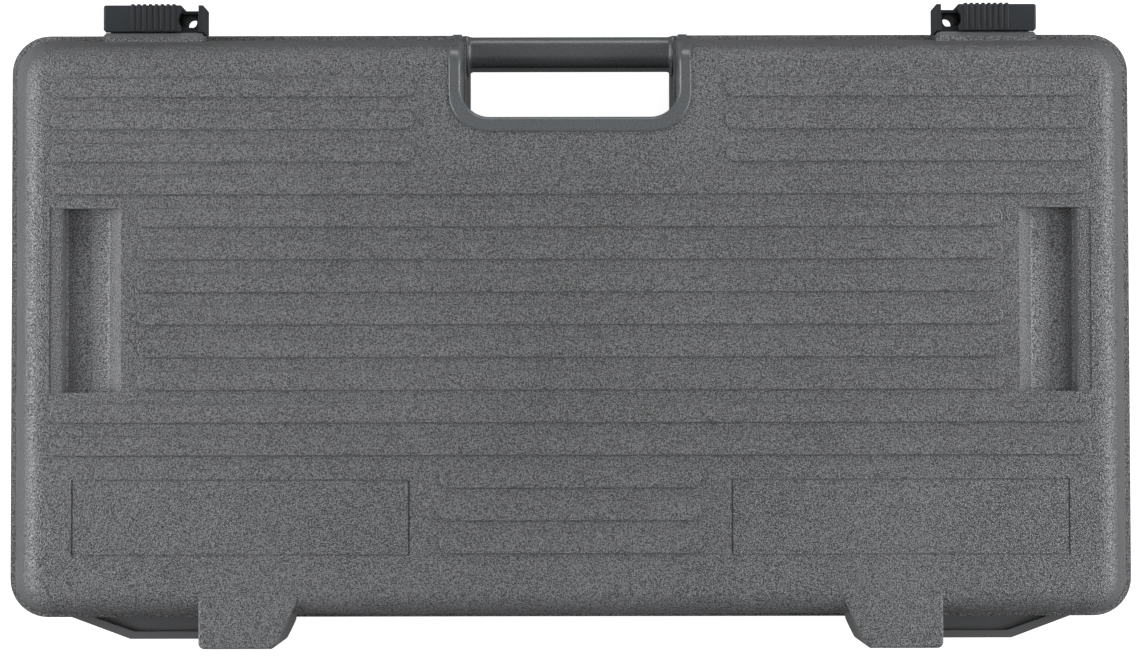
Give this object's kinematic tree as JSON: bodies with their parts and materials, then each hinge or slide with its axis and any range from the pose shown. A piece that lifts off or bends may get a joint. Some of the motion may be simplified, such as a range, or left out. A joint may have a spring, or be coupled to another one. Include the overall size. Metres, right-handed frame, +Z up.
{
  "type": "pedalboard",
  "caption": "Closed moulded carrying case for effect pedals, with a hinged lid, hand opening, sliding latches, foam lining and a junction box.",
  "frame": {"origin": "centre of the footprint, on the surface that the case stands on", "axes": "+X right along the long side, +Y towards the handle and latches, +Z up through the lid"},
  "size_m": [0.675, 0.383, 0.151],
  "materials": {
    "grained_shell": "pebble-grained moulded plastic",
    "smooth_plastic": "smooth moulded plastic, satin",
    "latch_plastic": "smooth charcoal plastic",
    "stand_plastic": "smooth dark plastic",
    "zinc_screws": "zinc plated",
    "steel_pin": "drawn steel",
    "rubber": "moulded rubber",
    "foam": "open-cell foam, felt-like skin",
    "box_plastic": "fine-textured plastic",
    "board": "solder-masked board",
    "socket_plastic": "glossy black plastic",
    "nickel": "nickel plated"
  },
  "bodies": {
    "base": {"base_shell": "grained_shell", "handle_liner": "smooth_plastic", "handle_grip_upper": "smooth_plastic", "handle_grip_lower": "smooth_plastic", "handle_screws": "zinc_screws", "hinge_pin_left": "steel_pin", "hinge_pin_right": "steel_pin", "rear_stand_left": "stand_plastic", "rear_stand_right": "stand_plastic", "stand_screws": "zinc_screws", "latch_rail_left": "latch_plastic", "latch_rail_right": "latch_plastic", "latch_screws": "zinc_screws", "rubber_feet": "rubber", "foot_screws": "zinc_screws", "floor_foam": "foam", "rear_foam_strip": "foam", "front_foam_left": "foam", "front_foam_right": "foam", "side_foam_left": "foam", "junction_box_housing": "box_plastic", "junction_box_bottom": "box_plastic", "circuit_board": "board", "jack_bodies": "socket_plastic", "jack_nuts": "nickel", "power_sockets": "socket_plastic", "junction_box_screws": "zinc_screws"},
    "lid": {"lid_shell": "grained_shell", "lid_handle_rim": "smooth_plastic", "lid_keeper_left": "smooth_plastic", "lid_keeper_right": "smooth_plastic", "keeper_screws": "zinc_screws", "lid_foam": "foam"},
    "latch_left": {"latch_slider_left": "latch_plastic"},
    "latch_right": {"latch_slider_right": "latch_plastic"}
  },
  "joints": [
    {"name": "lid_hinge", "type": "hinge", "parent": "base", "child": "lid", "pos_m": [0, -0.1848, 0.072], "axis": [1, 0, 0], "range_deg": [0, 105]},
    {"name": "latch_left_slide", "type": "slide", "parent": "base", "child": "latch_left", "axis": [1, 0, 0], "range_m": [0, 0.01]},
    {"name": "latch_right_slide", "type": "slide", "parent": "base", "child": "latch_right", "axis": [-1, 0, 0], "range_m": [0, 0.01]}
  ]
}
